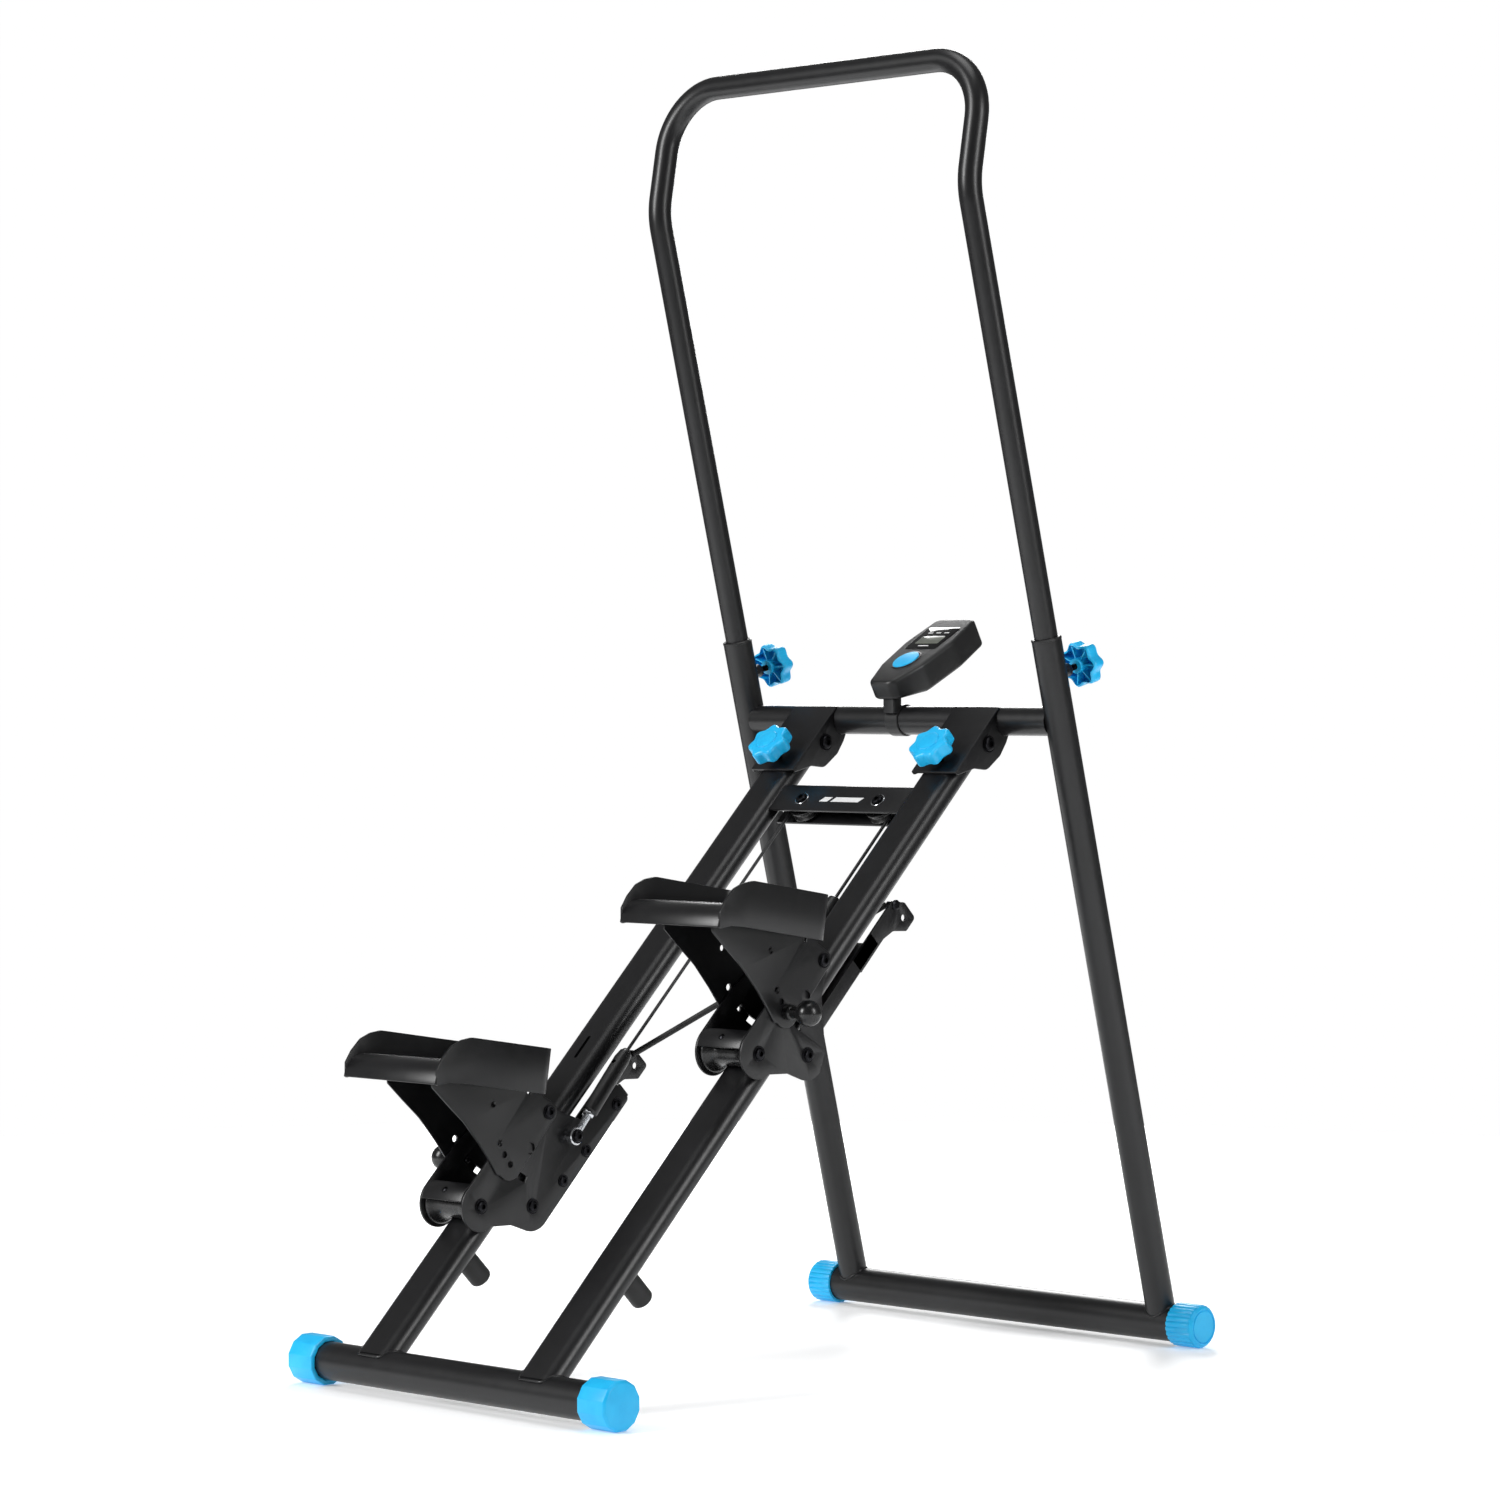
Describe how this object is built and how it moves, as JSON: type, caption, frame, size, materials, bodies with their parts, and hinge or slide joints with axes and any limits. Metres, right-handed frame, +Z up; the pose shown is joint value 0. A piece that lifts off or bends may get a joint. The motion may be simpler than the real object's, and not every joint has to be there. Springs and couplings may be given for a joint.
{
  "type": "folding rail stepper",
  "caption": "Folding step machine: pedal carriages roll on inclined rails, pull each other over pulleys, with a tall adjustable handlebar.",
  "frame": {"origin": "on the floor, at the middle of the bounding box's footprint", "axes": "+Z up; +Y the way the user faces, from the pedals towards the uprights; +X to the user's right"},
  "size_m": [0.676, 1.037, 1.6419],
  "materials": {
    "black_powder_coat": "satin black powder coat with a fine texture",
    "black_oxide_bolts": "black oxide",
    "black_plastic": "moulded, fine grain",
    "plated_steel": "bright zinc and black sleeve",
    "black_rubber": "matt",
    "blue_plastic": "moulded, satin",
    "coated_cable": "steel cable in a black coat"
  },
  "bodies": {
    "upright_frame": {"rear_base_tube": "black_powder_coat", "left_rear_cap": "blue_plastic", "right_rear_cap": "blue_plastic", "left_upright": "black_powder_coat", "right_upright": "black_powder_coat", "cross_tube": "black_powder_coat", "left_hinge_bracket": "black_powder_coat", "right_hinge_bracket": "black_powder_coat", "left_hinge_bolt": "black_oxide_bolts", "right_hinge_bolt": "black_oxide_bolts", "console_foot": "black_plastic", "console_housing": "black_plastic"},
    "handlebar": {"handlebar": "black_powder_coat"},
    "left_sleeve_knob": {"left_sleeve_knob": "blue_plastic"},
    "right_sleeve_knob": {"right_sleeve_knob": "blue_plastic"},
    "left_rail_knob": {"left_rail_knob": "blue_plastic"},
    "right_rail_knob": {"right_rail_knob": "blue_plastic"},
    "console_button": {"console_button": "blue_plastic"},
    "rail_frame": {"front_base_tube": "black_powder_coat", "left_front_cap": "blue_plastic", "right_front_cap": "blue_plastic", "left_rail": "black_powder_coat", "right_rail": "black_powder_coat", "left_rail_stop": "black_rubber", "right_rail_stop": "black_rubber", "pulley_bridge": "black_powder_coat", "left_pulley_bolt": "black_oxide_bolts", "right_pulley_bolt": "black_oxide_bolts", "cable_over_pulleys": "coated_cable", "left_cable": "coated_cable", "right_cable": "coated_cable", "resistance_cord": "black_rubber"},
    "left_pulley": {"left_pulley": "black_plastic"},
    "right_pulley": {"right_pulley": "black_plastic"},
    "left_carriage": {"left_inner_plate": "black_powder_coat", "left_outer_plate": "black_powder_coat", "left_arm": "black_powder_coat", "left_roller_guard": "black_powder_coat", "left_cable_tensioner": "plated_steel", "left_front_axle": "black_oxide_bolts", "left_rear_axle": "black_oxide_bolts", "left_pedal_pivot_bolt": "black_oxide_bolts"},
    "left_pedal": {"left_pedal": "black_powder_coat", "left_pedal_bracket": "black_powder_coat"},
    "left_pull_pin": {"left_pull_pin": "black_plastic"},
    "left_front_roller": {"left_front_roller": "black_plastic"},
    "left_rear_roller": {"left_rear_roller": "black_plastic"},
    "right_carriage": {"right_inner_plate": "black_powder_coat", "right_outer_plate": "black_powder_coat", "right_arm": "black_powder_coat", "right_roller_guard": "black_powder_coat", "right_cable_tensioner": "plated_steel", "right_front_axle": "black_oxide_bolts", "right_rear_axle": "black_oxide_bolts", "right_pedal_pivot_bolt": "black_oxide_bolts"},
    "right_pedal": {"right_pedal": "black_powder_coat", "right_pedal_bracket": "black_powder_coat"},
    "right_pull_pin": {"right_pull_pin": "black_plastic"},
    "right_front_roller": {"right_front_roller": "black_plastic"},
    "right_rear_roller": {"right_rear_roller": "black_plastic"}
  },
  "joints": [
    {"name": "fold", "type": "hinge", "parent": "upright_frame", "child": "rail_frame", "pos_m": [0, 0.25265, 0.7754], "axis": [1, 0, 0], "range_deg": [0, 54]},
    {"name": "handlebar_height", "type": "slide", "parent": "upright_frame", "child": "handlebar", "axis": [0, -0.2552, 0.9669], "range_m": [-0.15, 0.05]},
    {"name": "left_carriage_roll", "type": "slide", "parent": "rail_frame", "child": "left_carriage", "axis": [0, 0.7113, 0.7029], "range_m": [-0.045, 0.316], "deforming": ["left_cable", "right_cable", "resistance_cord"]},
    {"name": "right_carriage_roll", "type": "slide", "parent": "rail_frame", "child": "right_carriage", "axis": [0, 0.7113, 0.7029], "range_m": [-0.32, 0.049]},
    {"name": "left_pulley_spin", "type": "hinge", "parent": "rail_frame", "child": "left_pulley", "pos_m": [-0.0665, 0.17849, 0.69367], "axis": [0, -0.7029, 0.7113], "continuous": true},
    {"name": "right_pulley_spin", "type": "hinge", "parent": "rail_frame", "child": "right_pulley", "pos_m": [0.0665, 0.17849, 0.69367], "axis": [0, -0.7029, 0.7113], "continuous": true},
    {"name": "left_front_roller_spin", "type": "hinge", "parent": "left_carriage", "child": "left_front_roller", "pos_m": [-0.1414, -0.3588, 0.21653], "axis": [1, 0, 0], "continuous": true},
    {"name": "left_rear_roller_spin", "type": "hinge", "parent": "left_carriage", "child": "left_rear_roller", "pos_m": [-0.1414, -0.27356, 0.20995], "axis": [1, 0, 0], "continuous": true},
    {"name": "left_pedal_tilt", "type": "hinge", "parent": "left_carriage", "child": "left_pedal", "pos_m": [-0.1414, -0.24871, 0.32421], "axis": [1, 0, 0], "range_deg": [0, 21]},
    {"name": "left_pull_pin_out", "type": "slide", "parent": "left_pedal", "child": "left_pull_pin", "axis": [-1, 0, 0], "range_m": [0, 0.0085], "stiffness_N_per_m": 600},
    {"name": "left_sleeve_knob_turn", "type": "hinge", "parent": "upright_frame", "child": "left_sleeve_knob", "pos_m": [-0.2705, 0.28526, 0.86583], "axis": [0, 0.9669, 0.2552], "range_deg": [0, 360]},
    {"name": "left_rail_knob_turn", "type": "hinge", "parent": "upright_frame", "child": "left_rail_knob", "pos_m": [-0.1414, 0.20775, 0.75254], "axis": [0, -0.7029, 0.7113], "range_deg": [0, 360]},
    {"name": "right_front_roller_spin", "type": "hinge", "parent": "right_carriage", "child": "right_front_roller", "pos_m": [0.1414, -0.16605, 0.40702], "axis": [1, 0, 0], "continuous": true},
    {"name": "right_rear_roller_spin", "type": "hinge", "parent": "right_carriage", "child": "right_rear_roller", "pos_m": [0.1414, -0.08081, 0.40044], "axis": [1, 0, 0], "continuous": true},
    {"name": "right_pedal_tilt", "type": "hinge", "parent": "right_carriage", "child": "right_pedal", "pos_m": [0.1414, -0.05595, 0.5147], "axis": [1, 0, 0], "range_deg": [0, 21]},
    {"name": "right_pull_pin_out", "type": "slide", "parent": "right_pedal", "child": "right_pull_pin", "axis": [1, 0, 0], "range_m": [0, 0.0085], "stiffness_N_per_m": 600},
    {"name": "right_sleeve_knob_turn", "type": "hinge", "parent": "upright_frame", "child": "right_sleeve_knob", "pos_m": [0.2705, 0.28526, 0.86583], "axis": [0, 0.9669, 0.2552], "range_deg": [0, 360]},
    {"name": "right_rail_knob_turn", "type": "hinge", "parent": "upright_frame", "child": "right_rail_knob", "pos_m": [0.1414, 0.20775, 0.75254], "axis": [0, -0.7029, 0.7113], "range_deg": [0, 360]},
    {"name": "console_button_press", "type": "slide", "parent": "upright_frame", "child": "console_button", "axis": [0, 0.4848, -0.8746], "range_m": [0, 0.002], "stiffness_N_per_m": 500}
  ],
  "couplings": [
    {"joint": "right_carriage_roll", "follows": "left_carriage_roll", "ratio": -1},
    {"joint": "left_pulley_spin", "follows": "left_carriage_roll", "rad_per_m": -46.512},
    {"joint": "right_pulley_spin", "follows": "left_carriage_roll", "rad_per_m": -46.512},
    {"joint": "left_front_roller_spin", "follows": "left_carriage_roll", "rad_per_m": -57.803},
    {"joint": "left_rear_roller_spin", "follows": "left_carriage_roll", "rad_per_m": 57.803},
    {"joint": "right_front_roller_spin", "follows": "left_carriage_roll", "rad_per_m": 57.803},
    {"joint": "right_rear_roller_spin", "follows": "left_carriage_roll", "rad_per_m": -57.803}
  ]
}
